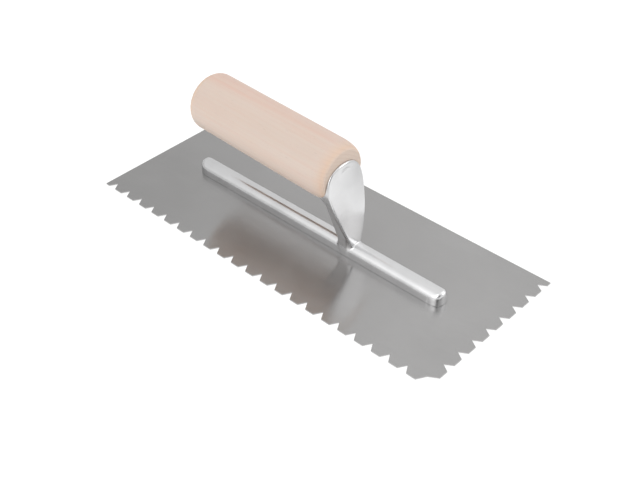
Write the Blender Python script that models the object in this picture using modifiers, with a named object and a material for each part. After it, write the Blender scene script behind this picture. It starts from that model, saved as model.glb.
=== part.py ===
"""Notched plastering trowel: a thin steel blade with V notches on one long and one short edge, a one-piece
cast mounting (bar and raised neck) riveted to it, and a turned wooden handle held by a threaded stud.

Frame: origin at the centre of the blade's underside, +X along the blade towards the notched short edge,
+Y towards the plain long edge, +Z up. The handle runs from the neck towards -X, so "front" is +X.
Dimensions are in millimetres and become metres where geometry is made."""

import math

import bmesh
import bpy
from mathutils import Matrix, Vector

MM = 0.001
GAP = 0.3                # clearance between touching pieces
MERGE = 1e-6             # metres; points closer than this are one

# Sides of turned shapes
ROUND_LARGE, ROUND_MEDIUM, ROUND_SMALL = 48, 32, 24

# ---- blade ----
BLADE_L = 279.4          # 11 in
BLADE_W = 114.3          # 4 1/2 in
BLADE_T = 0.8
NOTCH_PITCH = 12.7       # 1/2 in between centres
NOTCH_OPEN = NOTCH_PITCH / 2    # across the mouth
NOTCH_FIRST = NOTCH_PITCH / 2   # first notch centre from the notched corner
NOTCH_DEPTH = 5.3

# ---- mounting: bar ----
BAR_X0, BAR_X1 = -103.0, 105.0
BAR_W = 12.7
BAR_Z0 = BLADE_T + GAP
BAR_TOP = 9.6
BAR_FLAT = 0.9           # half width of the flat ridge, before scaling to BAR_W
BAR_ARCS = (             # (slope reached in degrees, radius), from the ridge down
    (32, 3.4), (45, 8.0), (57, 6.5), (68, 5.5), (80, 5.0), (87, 4.0),
)
BAR_ARC_STEPS = 3        # chords in each arc
BAR_CAP_R = 8.0          # the ends, seen from above
BAR_CAP_STEPS = 16
BAR_CAP_EDGE = 2.6       # rounding where the ridge meets the ends
BAR_CAP_EDGE_STEPS = 4
BAR_BLANK_EXTRA = 0.05   # height of the blank above the ridge
SECTION_PAST = 1.0       # how far the section prism runs past each end of the bar
SECTION_Z0 = -1.0        # its underside

# ---- rivets ----
RIVET_COUNT = 6
RIVET_INSET = 12.0       # outermost rivets from the bar's ends
RIVET_X0, RIVET_X1 = BAR_X0 + RIVET_INSET, BAR_X1 - RIVET_INSET
RIVET_XS = [
    RIVET_X0 + (RIVET_X1 - RIVET_X0) * i / (RIVET_COUNT - 1) for i in range(RIVET_COUNT)
]
RIVET_SHANK_R = 2.0
RIVET_HEAD_R = 3.5
RIVET_TOP = 4.9
RIVET_CHAMFER = 0.4
RIVET_HOLE_R = RIVET_SHANK_R + GAP
BLADE_CUT_PAST = 0.2     # how far a blade cutter runs past each face
BAR_CUT_Z0 = -1.0        # underside of the bar's rivet hole cutters

# ---- mounting: neck plate ----
NECK_Z0 = 3.0            # plate and rib both start inside the bar
NECK_W = 15.0            # half width at the widest place
NECK_ZC = 48.0           # height of that place
NECK_RISE = 16.2         # from there to the top
NECK_TAPER, NECK_TAPER_POWER = 49.6, 1.5       # narrowing below the widest place
NECK_FOOT_X, NECK_HEAD_X = 36.4, 27.0
NECK_LEAN_Z0, NECK_LEAN_Z1 = 8.0, 58.0
NECK_CROWN = 1.3         # bulge of the front
NECK_FADE_RATE, NECK_FADE_POWER = 2.2, 0.5     # flattening of the front towards the top
NECK_PLATE_T = 3.0
NECK_BACK_EXTRA = 5.6    # thickness added behind the upper part
NECK_BACK_Z0, NECK_BACK_RISE = 36.0, 9.0       # where it starts, and over what height it grows
NECK_FRONT_POWER, NECK_REAR_POWER = 3.2, 6.0   # superellipse exponents
NECK_RING_POINTS = 36
NECK_LOWER_STEPS = 18    # rings up to the widest place
NECK_UPPER_ANGLES = (12, 24, 36, 48, 58, 67, 75, 81)   # degrees round the top's curve

# ---- mounting: rib behind the plate ----
RIB_HALF, RIB_FOOT_HALF = 4.0, 5.8             # half widths
RIB_THIN_Z0, RIB_THIN_RISE, RIB_THIN_POWER = 8.0, 22.0, 1.2
RIB_FOOT_X, RIB_FOOT_Z = 25.8, 10.5            # a point on the leaning rear line
RIB_LEAN = 0.59                                # run back per unit of height
RIB_HEEL, RIB_HEEL_Z0, RIB_HEEL_RISE = 2.2, 7.0, 6.0   # the foot's spread to the rear
RIB_SINK = 1.6                                 # depth of the rib's front inside the plate
RIB_TOE, RIB_TOE_Z0, RIB_TOE_RISE = 1.9, 8.0, 9.0      # the foot's spread to the front
RIB_FRONT_POWER, RIB_REAR_POWER = 6.0, 5.0
RIB_RING_POINTS = 32
RIB_HEIGHTS = (          # z of each ring
    NECK_Z0, 5.0, 7.0, 8.2, 9.2, 10.2, 11.3, 12.5,
    14.0, 15.7, 18.0, 21.0, 25.0, 30.0, 36.0, 44.0,
)

# ---- handle; lengths along its axis run from the front face ----
AXIS_X, AXIS_Z = 25.5, 55.6   # centre of the handle's front face
AXIS_SLOPE = 0.045            # the handle's rear end sits higher
HANDLE_L = 120.5
HANDLE_R = 19.1
FRONT_ROUND_L, FRONT_ROUND_R, FRONT_ROUND_STEPS = 12.2, 3.65, 9
REAR_ROUND_L, REAR_ROUND_R, REAR_ROUND_STEPS = 9.3, 14.6, 8
BORE_R = 3.5
BOSS_R, BOSS_L = 6.0, 10.0
BOSS_FROM = -2.2              # the boss starts inside the neck
BOSS_CHAMFER = 1.0
BOSS_RECESS_R = BOSS_R + GAP
RECESS_CHAMFER = 0.4
COUNTERBORE_R, COUNTERBORE_DEPTH = 8.2, 15.5
MOUTH_CHAMFER_R, MOUTH_CHAMFER_L = 0.5, 0.6    # the counterbore's rear edge
MOUTH_CLEAR = 0.9             # rear profile points nearer the counterbore than this are left out

# ---- stud, washer and nut ----
STUD_R = 3.0
STUD_FROM, STUD_TO = -1.2, 113.5
STUD_CHAMFER = 0.6
STUD_HOLE_R = STUD_R + GAP    # in the neck, washer and nut
STUD_CUT_PAST = 2.0           # how far the neck's cutter runs past the boss
WASHER_AT = HANDLE_L - COUNTERBORE_DEPTH + GAP
WASHER_R, WASHER_T, WASHER_CHAMFER = 7.4, 1.5, 0.2
NUT_AT = WASHER_AT + WASHER_T + GAP
NUT_FLATS, NUT_T = 10.0, 5.0
NUT_CORNER_R = NUT_FLATS / math.sqrt(3)
NUT_FACE_INSET = 0.15         # chamfer's circle on the end faces, inside the flats
NUT_CORNER_DROP = 0.5         # chamfer's length, just outside the corners
NUT_FACE_PAST, NUT_CORNER_PAST = 0.05, 0.15    # how far its cutter runs past the nut
NUT_CHAMFER_STEPS = 36

SHARP_ANGLE = 35.0            # degrees; steeper edges stay sharp


# ---- scene and materials ----
for old in list(bpy.data.objects):
    bpy.data.objects.remove(old, do_unlink=True)

parts = bpy.data.collections.new("notched_trowel")
cutters = bpy.data.collections.new("cutters")
bpy.context.scene.collection.children.link(parts)
bpy.context.scene.collection.children.link(cutters)


def material(name, colour, roughness, metallic):
    mat = bpy.data.materials.new(name)
    mat.use_nodes = True
    shader = mat.node_tree.nodes["Principled BSDF"]
    shader.inputs["Base Color"].default_value = (*colour, 1.0)
    shader.inputs["Roughness"].default_value = roughness
    shader.inputs["Metallic"].default_value = metallic
    mat.diffuse_color = (*colour, 1.0)
    return mat


STEEL = material("spring_steel", colour=(0.40, 0.40, 0.40), roughness=0.32, metallic=1.0)
CAST = material("polished_aluminium", colour=(0.78, 0.78, 0.79), roughness=0.16, metallic=1.0)
WOOD = material("beech", colour=(0.74, 0.60, 0.50), roughness=0.55, metallic=0.0)
RIVET = material("rivet_steel", colour=(0.50, 0.50, 0.50), roughness=0.35, metallic=1.0)
ZINC = material("zinc_plated_steel", colour=(0.62, 0.62, 0.60), roughness=0.35, metallic=1.0)


# ---- shape helpers ----
def clamp(value):
    return min(1.0, max(0.0, value))


def smoothstep(value):
    value = clamp(value)
    return value * value * (3 - 2 * value)


def link(obj, collection=parts):
    collection.objects.link(obj)
    if collection is cutters:
        obj.hide_render = True
        obj.display_type = "WIRE"
    return obj


def mesh_object(name, mesh, mat, collection=parts):
    """Turn a bmesh into a linked object and free it."""
    data = bpy.data.meshes.new(name)
    mesh.to_mesh(data)
    mesh.free()
    if mat:
        data.materials.append(mat)
    return link(bpy.data.objects.new(name, data), collection)


def smooth(obj):
    obj.data.shade_smooth()
    obj.data.set_sharp_from_angle(angle=math.radians(SHARP_ANGLE))


def outline_solid(name, outline, z0, z1, mat):
    """A flat outline raised between two heights: a filled 2D curve turned into a mesh."""
    curve = bpy.data.curves.new(name + "_outline", "CURVE")
    curve.dimensions = "2D"
    curve.fill_mode = "BOTH"
    curve.extrude = (z1 - z0) / 2 * MM
    spline = curve.splines.new("POLY")
    spline.points.add(len(outline) - 1)
    for point, (x, y) in zip(spline.points, outline):
        point.co = (x * MM, y * MM, 0.0, 1.0)
    spline.use_cyclic_u = True
    guide = link(bpy.data.objects.new(name + "_outline", curve), cutters)
    guide.location.z = (z0 + z1) / 2 * MM
    bpy.context.view_layer.update()
    graph = bpy.context.evaluated_depsgraph_get()
    data = bpy.data.meshes.new_from_object(guide.evaluated_get(graph))
    # the curve's walls and faces come unjoined
    mesh = bmesh.new()
    mesh.from_mesh(data)
    bmesh.ops.remove_doubles(mesh, verts=mesh.verts, dist=MERGE)
    mesh.to_mesh(data)
    mesh.free()
    data.name = name
    data.materials.clear()
    data.materials.append(mat)
    obj = link(bpy.data.objects.new(name, data))
    obj.matrix_world = guide.matrix_world.copy()
    bpy.data.objects.remove(guide, do_unlink=True)
    bpy.data.curves.remove(curve)
    return obj


def turned(name, profile, mat, steps, collection=parts):
    """A (radius, height) profile turned about the object's own Z axis.
    The outer side runs from the top down and the inner side, if there is one, back up."""
    mesh = bmesh.new()
    points = [mesh.verts.new((radius * MM, 0.0, height * MM)) for radius, height in profile]
    hollow = profile[0][0] > 0 and profile[-1][0] > 0
    for i in range(len(points) if hollow else len(points) - 1):
        mesh.edges.new((points[i], points[(i + 1) % len(points)]))
    obj = mesh_object(name, mesh, mat, collection)
    screw = obj.modifiers.new("turn", "SCREW")
    screw.axis = "Z"
    screw.angle = 2 * math.pi
    screw.steps = steps
    screw.render_steps = steps
    screw.use_merge_vertices = True
    screw.merge_threshold = MERGE
    screw.use_smooth_shade = True
    return obj


def rod(radius, low, high, low_chamfer=0.0, high_chamfer=0.0):
    """Profile of a solid rod for turned(), from the top down."""
    points = [(0.0, high), (radius - high_chamfer, high)]
    if high_chamfer:
        points.append((radius, high - high_chamfer))
    if low_chamfer:
        points.append((radius, low + low_chamfer))
    return points + [(radius - low_chamfer, low), (0.0, low)]


def cone_mesh(sides, low_r, high_r, height):
    mesh = bmesh.new()
    bmesh.ops.create_cone(
        mesh,
        cap_ends=True,
        segments=sides,
        radius1=low_r * MM,
        radius2=high_r * MM,
        depth=height * MM,
    )
    bmesh.ops.recalc_face_normals(mesh, faces=mesh.faces)
    return mesh


def cone_cutter(name, low_r, high_r, z0, z1, x):
    obj = mesh_object(name, cone_mesh(ROUND_SMALL, low_r, high_r, z1 - z0), None, cutters)
    obj.location = (x * MM, 0.0, (z0 + z1) / 2 * MM)
    return obj


def cast_loft(name, rings):
    """Closed rings of equal count, joined in order and capped, as a helper for the mounting."""
    mesh = bmesh.new()
    made = [[mesh.verts.new(Vector(point) * MM) for point in ring] for ring in rings]
    count = len(rings[0])
    for low, high in zip(made[:-1], made[1:]):
        for i in range(count):
            j = (i + 1) % count
            mesh.faces.new((low[i], low[j], high[j], high[i]))
    mesh.faces.new(list(reversed(made[0])))
    mesh.faces.new(made[-1])
    bmesh.ops.recalc_face_normals(mesh, faces=mesh.faces)
    return mesh_object(name, mesh, CAST, cutters)


def boolean(obj, other, operation):
    mod = obj.modifiers.new(operation.lower() + "_" + other.name, "BOOLEAN")
    mod.operation = operation
    mod.object = other
    mod.solver = "EXACT"


# ---- handle axis: local +Z runs from the handle's front face to its rear end ----
def make_handle_axis():
    axis = link(bpy.data.objects.new("handle_axis", None))
    along = Vector((-1.0, 0.0, AXIS_SLOPE)).normalized()
    across = Vector((0.0, 1.0, 0.0))
    turn = Matrix((across.cross(along), across, along)).transposed()
    axis.matrix_world = Matrix.Translation((AXIS_X * MM, 0.0, AXIS_Z * MM)) @ turn.to_4x4()
    return axis


handle_axis = make_handle_axis()


def on_axis(obj):
    obj.parent = handle_axis
    return obj


def axis_cutter(name, profile, steps):
    return on_axis(turned(name, profile, None, steps, cutters))


# ---- blade ----
def notched_edge(length):
    """Points along an edge, as (distance from the notched corner, depth), after the corner's own cut."""
    points = []
    half = NOTCH_OPEN / 2
    centre = NOTCH_FIRST + NOTCH_PITCH
    while centre + half < length:
        points += [(centre - half, 0.0), (centre, NOTCH_DEPTH), (centre + half, 0.0)]
        centre += NOTCH_PITCH
    return points


def blade_outline():
    """Anticlockwise from the notched corner, up the short edge, round the plain sides and back."""
    corner_x, corner_y = BLADE_L / 2, -BLADE_W / 2
    reach = NOTCH_FIRST + NOTCH_OPEN / 2
    # where the flanks of the two corner notches cross, on the corner's diagonal
    meet = reach / (1 + (NOTCH_OPEN / 2) / NOTCH_DEPTH)
    outline = [(corner_x - meet, corner_y + meet), (corner_x, corner_y + reach)]
    outline += [(corner_x - depth, corner_y + along) for along, depth in notched_edge(BLADE_W)]
    outline += [(corner_x, -corner_y), (-corner_x, -corner_y), (-corner_x, corner_y)]
    outline += [
        (corner_x - along, corner_y + depth) for along, depth in reversed(notched_edge(BLADE_L))
    ]
    outline.append((corner_x - reach, corner_y))
    return outline


def make_blade():
    blade = outline_solid("blade", blade_outline(), 0.0, BLADE_T, STEEL)
    # countersunk holes: each cutter runs past both faces of the sheet along the same cone
    widening = (RIVET_HEAD_R - RIVET_SHANK_R) / BLADE_T * BLADE_CUT_PAST
    for i, x in enumerate(RIVET_XS):
        cut = cone_cutter(
            f"cut_blade_{i + 1}",
            RIVET_HEAD_R + GAP + widening,
            RIVET_HOLE_R - widening,
            -BLADE_CUT_PAST,
            BLADE_T + BLADE_CUT_PAST,
            x,
        )
        boolean(blade, cut, "DIFFERENCE")
    smooth(blade)


# ---- rivets: countersunk head flush with the blade's underside ----
def make_rivets():
    profile = [
        (0.0, RIVET_TOP),
        (RIVET_SHANK_R - RIVET_CHAMFER, RIVET_TOP),
        (RIVET_SHANK_R, RIVET_TOP - RIVET_CHAMFER),
        (RIVET_SHANK_R, BLADE_T),
        (RIVET_HEAD_R, 0.0),
        (0.0, 0.0),
    ]
    for i, x in enumerate(RIVET_XS):
        rivet = turned(f"rivet_{i + 1}", profile, RIVET, ROUND_SMALL)
        rivet.location.x = x * MM


# ---- mounting: bar ----
def bar_outline():
    """The bar from above: straight sides and half-round ends."""
    points = []
    for centre, start in (
        (BAR_X1 - BAR_CAP_R, -math.pi / 2),
        (BAR_X0 + BAR_CAP_R, math.pi / 2),
    ):
        for i in range(BAR_CAP_STEPS + 1):
            angle = start + math.pi * i / BAR_CAP_STEPS
            points.append(
                (centre + BAR_CAP_R * math.cos(angle), BAR_CAP_R * math.sin(angle))
            )
    return points


def bar_section():
    """The cross section as (y, z): a narrow flat ridge, shoulders on wide arcs, drafted sides."""
    y, z, angle = BAR_FLAT, BAR_TOP, 0.0
    side = [(y, z)]
    for end, radius in BAR_ARCS:
        for i in range(BAR_ARC_STEPS):
            middle = math.radians(angle + (end - angle) * (i + 0.5) / BAR_ARC_STEPS)
            length = radius * math.radians((end - angle) / BAR_ARC_STEPS)
            y += length * math.cos(middle)
            z -= length * math.sin(middle)
            side.append((y, z))
        angle = end
    draft = math.tan(math.radians(angle))
    side.append((y + (z - SECTION_Z0) / draft, SECTION_Z0))
    # scaled across so that the underside is BAR_W wide
    scale = BAR_W / 2 / (y + (z - BAR_Z0) / draft)
    side = [(y * scale, z) for y, z in side]
    return side + [(-y, z) for y, z in reversed(side)]


def round_top_rim(obj):
    mesh = bmesh.new()
    mesh.from_mesh(obj.data)
    top = max(vert.co.z for vert in mesh.verts)
    # joins each flat face's triangles into one face
    bmesh.ops.dissolve_limit(mesh, angle_limit=0.001, verts=mesh.verts, edges=mesh.edges)
    rim = [
        edge
        for edge in mesh.edges
        if all(abs(vert.co.z - top) < MERGE for vert in edge.verts)
        and any(abs(face.normal.z) < 0.5 for face in edge.link_faces)
    ]
    bmesh.ops.bevel(
        mesh,
        geom=rim,
        offset=BAR_CAP_EDGE * MM,
        offset_type="OFFSET",
        segments=BAR_CAP_EDGE_STEPS,
        profile=0.5,
        affect="EDGES",
        clamp_overlap=True,
    )
    mesh.to_mesh(obj.data)
    mesh.free()


def make_bar():
    """A rounded blank, cut to the bar's cross section."""
    bar = outline_solid("mounting", bar_outline(), BAR_Z0, BAR_TOP + BAR_BLANK_EXTRA, CAST)
    round_top_rim(bar)
    section = bar_section()
    ends = (BAR_X0 - SECTION_PAST, BAR_X1 + SECTION_PAST)
    prism = cast_loft("bar_section", [[(x, y, z) for y, z in section] for x in ends])
    boolean(bar, prism, "INTERSECT")
    return bar


# ---- mounting: neck ----
def front_x(z):
    """The plate's front at height z, before its crown."""
    return NECK_FOOT_X - (NECK_FOOT_X - NECK_HEAD_X) * smoothstep(
        (z - NECK_LEAN_Z0) / (NECK_LEAN_Z1 - NECK_LEAN_Z0)
    )


def half_width(z):
    if z <= NECK_ZC:
        return NECK_W * (1 - ((NECK_ZC - z) / NECK_TAPER) ** NECK_TAPER_POWER)
    return NECK_W * math.sqrt(max(0.0, 1 - ((z - NECK_ZC) / NECK_RISE) ** 2))


def superellipse(middle, front, rear, half, z, front_power, rear_power, count):
    """A ring at height z: half depths front and rear of x = middle, and half width half."""
    ring = []
    for i in range(count):
        angle = 2 * math.pi * i / count
        cosine, sine = math.cos(angle), math.sin(angle)
        depth, power = (front, front_power) if cosine >= 0 else (rear, rear_power)
        x = middle + depth * math.copysign(abs(cosine) ** (2 / power), cosine)
        y = half * math.copysign(abs(sine) ** (2 / power), sine)
        ring.append((x, y, z))
    return ring


def tongue_section(z):
    half = half_width(z)
    fade = 1.0
    if z > NECK_ZC:
        fade = min(1.0, half / NECK_W * NECK_FADE_RATE) ** NECK_FADE_POWER
    back = NECK_PLATE_T + NECK_BACK_EXTRA * smoothstep((z - NECK_BACK_Z0) / NECK_BACK_RISE)
    return superellipse(
        middle=front_x(z) - NECK_PLATE_T / 2,
        front=(NECK_PLATE_T / 2 + NECK_CROWN) * fade,
        rear=back - NECK_PLATE_T / 2,
        half=half,
        z=z,
        front_power=NECK_FRONT_POWER,
        rear_power=NECK_REAR_POWER,
        count=NECK_RING_POINTS,
    )


def rib_section(z):
    """Wider at its foot, thinner and leaning back higher up."""
    heel = clamp(1 - (z - RIB_HEEL_Z0) / RIB_HEEL_RISE)
    rear = RIB_FOOT_X - RIB_LEAN * (z - RIB_FOOT_Z) - RIB_HEEL * heel**2
    thinning = 1 - (1 - clamp((z - RIB_THIN_Z0) / RIB_THIN_RISE)) ** RIB_THIN_POWER
    # the front of the rib runs inside the plate, and its foot comes out to the plate's front
    toe = clamp(1 - (z - RIB_TOE_Z0) / RIB_TOE_RISE)
    front = front_x(z) - RIB_SINK + RIB_TOE * toe**2
    return superellipse(
        middle=(front + rear) / 2,
        front=(front - rear) / 2,
        rear=(front - rear) / 2,
        half=RIB_FOOT_HALF - (RIB_FOOT_HALF - RIB_HALF) * thinning,
        z=z,
        front_power=RIB_FRONT_POWER,
        rear_power=RIB_REAR_POWER,
        count=RIB_RING_POINTS,
    )


def end_profile(extra):
    """The handle's outer profile, grown by extra, as (radius, distance from its front face),
    rear end first."""
    points = []
    for i in range(REAR_ROUND_STEPS + 1):
        angle = math.pi / 2 * (1 - i / REAR_ROUND_STEPS)
        cosine, sine = math.cos(angle), math.sin(angle)
        radius = HANDLE_R - REAR_ROUND_R * (1 - cosine) + extra
        points.append((radius, HANDLE_L - REAR_ROUND_L * (1 - sine) + extra * sine))
    for i in range(FRONT_ROUND_STEPS + 1):
        angle = math.pi / 2 * i / FRONT_ROUND_STEPS
        cosine, sine = math.cos(angle), math.sin(angle)
        radius = HANDLE_R - FRONT_ROUND_R * (1 - cosine) + extra * cosine
        points.append((radius, FRONT_ROUND_L * (1 - sine) - extra * sine))
    return points


def make_neck():
    """Plate and rib, cut to seat the handle, with the boss that enters it."""
    heights = [
        NECK_Z0 + (NECK_ZC - NECK_Z0) * i / NECK_LOWER_STEPS for i in range(NECK_LOWER_STEPS + 1)
    ]
    heights += [NECK_ZC + NECK_RISE * math.sin(math.radians(a)) for a in NECK_UPPER_ANGLES]
    tongue = cast_loft("tongue", [tongue_section(z) for z in heights])
    rib = cast_loft("rib", [rib_section(z) for z in RIB_HEIGHTS])
    seat = end_profile(GAP)
    seat = [(0.0, seat[0][1])] + seat + [(0.0, seat[-1][1])]
    envelope = axis_cutter("cut_handle_seat", seat, ROUND_LARGE)
    boss = axis_cutter(
        "boss", rod(BOSS_R, BOSS_FROM, BOSS_L, high_chamfer=BOSS_CHAMFER), ROUND_MEDIUM
    )
    boolean(tongue, rib, "UNION")
    boolean(tongue, envelope, "DIFFERENCE")
    boolean(tongue, boss, "UNION")
    return tongue


def make_mounting():
    mounting = make_bar()
    boolean(mounting, make_neck(), "UNION")
    stud_hole = axis_cutter(
        "cut_stud_hole",
        rod(STUD_HOLE_R, STUD_FROM - GAP, BOSS_L + STUD_CUT_PAST),
        ROUND_SMALL,
    )
    boolean(mounting, stud_hole, "DIFFERENCE")
    for i, x in enumerate(RIVET_XS):
        cut = cone_cutter(
            f"cut_bar_{i + 1}", RIVET_HOLE_R, RIVET_HOLE_R, BAR_CUT_Z0, RIVET_TOP + GAP, x
        )
        boolean(mounting, cut, "DIFFERENCE")
    smooth(mounting)


# ---- handle ----
def rear_face_at(radius):
    """Distance from the front face to the rear dome at this radius."""
    cosine = 1 - (HANDLE_R - radius) / REAR_ROUND_R
    return HANDLE_L - REAR_ROUND_L * (1 - math.sqrt(max(0.0, 1 - cosine * cosine)))


def make_handle():
    outer = [
        (radius, along)
        for radius, along in end_profile(0.0)
        if radius > COUNTERBORE_R + MOUTH_CLEAR or along < HANDLE_L / 2
    ]
    mouth_r = COUNTERBORE_R + MOUTH_CHAMFER_R
    inner = [
        (BOSS_RECESS_R + RECESS_CHAMFER, 0.0),
        (BOSS_RECESS_R, RECESS_CHAMFER),
        (BOSS_RECESS_R, BOSS_L + GAP),
        (BORE_R, BOSS_L + GAP),
        (BORE_R, HANDLE_L - COUNTERBORE_DEPTH),
        (COUNTERBORE_R, HANDLE_L - COUNTERBORE_DEPTH),
        (COUNTERBORE_R, rear_face_at(COUNTERBORE_R) - MOUTH_CHAMFER_L),
    ]
    profile = [(mouth_r, rear_face_at(mouth_r))] + outer + inner
    on_axis(turned("handle", profile, WOOD, ROUND_LARGE))


# ---- stud, washer and nut ----
def make_stud():
    profile = rod(STUD_R, STUD_FROM, STUD_TO, STUD_CHAMFER, STUD_CHAMFER)
    on_axis(turned("handle_stud", profile, ZINC, ROUND_SMALL))


def make_washer():
    top = WASHER_AT + WASHER_T
    profile = [
        (WASHER_R - WASHER_CHAMFER, top),
        (WASHER_R, top - WASHER_CHAMFER),
        (WASHER_R, WASHER_AT),
        (STUD_HOLE_R, WASHER_AT),
        (STUD_HOLE_R, top),
    ]
    on_axis(turned("washer", profile, ZINC, ROUND_MEDIUM))


def make_nut():
    nut = on_axis(mesh_object("nut", cone_mesh(6, NUT_CORNER_R, NUT_CORNER_R, NUT_T), ZINC))
    face_r, face_z = NUT_FLATS / 2 - NUT_FACE_INSET, NUT_T / 2 + NUT_FACE_PAST
    corner_r, corner_z = NUT_CORNER_R + NUT_CORNER_PAST, NUT_T / 2 - NUT_CORNER_DROP
    chamfer_profile = [
        (0.0, face_z), (face_r, face_z), (corner_r, corner_z),
        (corner_r, -corner_z), (face_r, -face_z), (0.0, -face_z),
    ]
    chamfer = axis_cutter("keep_nut_corners", chamfer_profile, NUT_CHAMFER_STEPS)
    hole = axis_cutter("cut_nut_hole", rod(STUD_HOLE_R, -NUT_T, NUT_T), ROUND_SMALL)
    for obj in (nut, chamfer, hole):
        obj.location.z = (NUT_AT + NUT_T / 2) * MM
    boolean(nut, chamfer, "INTERSECT")
    boolean(nut, hole, "DIFFERENCE")
    smooth(nut)


make_blade()
make_rivets()
make_mounting()
make_handle()
make_stud()
make_washer()
make_nut()
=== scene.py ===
"""A notched trowel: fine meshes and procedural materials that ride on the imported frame.

The blade lies flat on the floor (z = 0) with its length along X. It is notched along its -Y long edge
and its +X short edge. The mounting bar runs along X on top of it, held by a row of rivets. A neck
rises from the bar near +X and carries the handle, which runs back from it towards -X.
Geometry is in millimetres and meshes are made in metres. Material coordinates are metres.
In names, _R is a radius, _L a length and _T a thickness.
"""

import math

import bmesh
import bpy
import numpy as np
from mathutils import Matrix, Vector


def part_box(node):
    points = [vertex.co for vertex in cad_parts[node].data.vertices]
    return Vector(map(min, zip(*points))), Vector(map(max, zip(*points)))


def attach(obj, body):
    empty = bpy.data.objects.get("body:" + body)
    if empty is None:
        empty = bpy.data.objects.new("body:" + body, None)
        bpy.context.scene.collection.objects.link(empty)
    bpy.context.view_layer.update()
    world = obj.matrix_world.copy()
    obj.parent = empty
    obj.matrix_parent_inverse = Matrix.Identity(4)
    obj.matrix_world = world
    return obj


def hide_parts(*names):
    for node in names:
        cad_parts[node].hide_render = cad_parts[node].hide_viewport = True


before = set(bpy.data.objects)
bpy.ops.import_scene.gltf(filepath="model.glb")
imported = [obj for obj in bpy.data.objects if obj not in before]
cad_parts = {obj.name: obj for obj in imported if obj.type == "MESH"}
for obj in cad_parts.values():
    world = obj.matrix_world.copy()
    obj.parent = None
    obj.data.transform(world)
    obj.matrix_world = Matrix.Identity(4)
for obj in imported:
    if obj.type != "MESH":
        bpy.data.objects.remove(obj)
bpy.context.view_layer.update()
MM = 0.001
scene = bpy.context.scene


def box_mm(node):
    low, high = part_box(node)
    return np.array(low) / MM, np.array(high) / MM


# ---- sizes shared between the pieces ---------------------------------------------------------------
blade_low, blade_high = box_mm("blade")
bar_low, bar_high = box_mm("mounting")
BLADE_T = blade_high[2]

BAR_X0, BAR_X1 = bar_low[0], bar_high[0]
BAR_HALF = 6.35  # half the width of the bar's base
BAR_TOP = 9.6

RIVET_COUNT, RIVET_FIRST_X, RIVET_LAST_X = 6, -91.0, 93.0
RIVET_SHANK_R, RIVET_HEAD_R = 2.0, 3.5
RIVET_TOP = 4.9
RIVET_STEP = RIVET_LAST_X - RIVET_FIRST_X
RIVET_X = [RIVET_FIRST_X + RIVET_STEP * i / (RIVET_COUNT - 1) for i in range(RIVET_COUNT)]
HOLE_SEGMENTS = 64

# the handle's axis starts at its front face (+X end) and climbs a little towards -X
AXIS_X, AXIS_Z, AXIS_SLOPE = 25.5, 55.6, 0.045
AXIS = np.array([-1.0, 0.0, AXIS_SLOPE])
AXIS /= np.linalg.norm(AXIS)

HANDLE_L, HANDLE_R = 120.5, 19.1
# the handle's ends are quarter ellipses: _L along the axis, _R across it
FRONT_ROUND_L, FRONT_ROUND_R = 12.2, 3.65
REAR_ROUND_L, REAR_ROUND_R = 9.3, 14.6
BORE_R = 3.4
BOSS_R, BOSS_L = 6.0, 10.0
COUNTERBORE_R, COUNTERBORE_DEPTH = 8.2, 15.5

# places along the axis are distances from the handle's front face
STUD_R, STUD_FROM, STUD_TO = 3.0, -1.2, 113.5


# ---- mesh helpers ----------------------------------------------------------------------------------
def make_mesh(name, points, faces, mat, smooth_angle, matrix=None):
    """A smooth-shaded object with its normals outwards; points are in millimetres."""
    data = bpy.data.meshes.new(name)
    data.from_pydata((np.asarray(points, float) * MM).tolist(), [], faces)
    data.validate()
    obj = bpy.data.objects.new(name, data)
    scene.collection.objects.link(obj)
    if matrix is not None:
        obj.matrix_world = matrix
    data.materials.append(mat)
    bm = bmesh.new()
    bm.from_mesh(data)
    bmesh.ops.recalc_face_normals(bm, faces=bm.faces)
    bm.to_mesh(data)
    bm.free()
    data.shade_smooth()
    data.set_sharp_from_angle(angle=math.radians(smooth_angle))
    return obj


def ring_surface(name, rings, mat, closed, smooth_angle, matrix):
    """A skin over rings of equally many points. closed joins the last ring to the first,
    otherwise each end is drawn together to one point."""
    rings = np.asarray(rings, float)
    ring_count, size = rings.shape[:2]
    points = rings.reshape(-1, 3).tolist()
    faces = []
    for i in range(ring_count if closed else ring_count - 1):
        here, ahead = i * size, ((i + 1) % ring_count) * size
        for j in range(size):
            k = (j + 1) % size
            faces.append((here + j, here + k, ahead + k, ahead + j))
    if not closed:
        for at, flip in ((0, True), (ring_count - 1, False)):
            centre = len(points)
            points.append(rings[at].mean(0).tolist())
            for j in range(size):
                triangle = (at * size + j, at * size + (j + 1) % size, centre)
                faces.append(triangle[::-1] if flip else triangle)
    return make_mesh(name, points, faces, mat, smooth_angle, matrix)


def full_turn(count):
    return np.arange(count) * 2 * math.pi / count


def ring(radius, height, angles):
    """One ring about Z; radius is a number or one value per angle."""
    level = np.full(len(angles), height)
    return np.stack([radius * np.cos(angles), radius * np.sin(angles), level], 1)


def turn(profile, count):
    """A (radius, height) profile turned about Z."""
    angles = full_turn(count)
    return np.stack([ring(radius, height, angles) for radius, height in profile])


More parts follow.
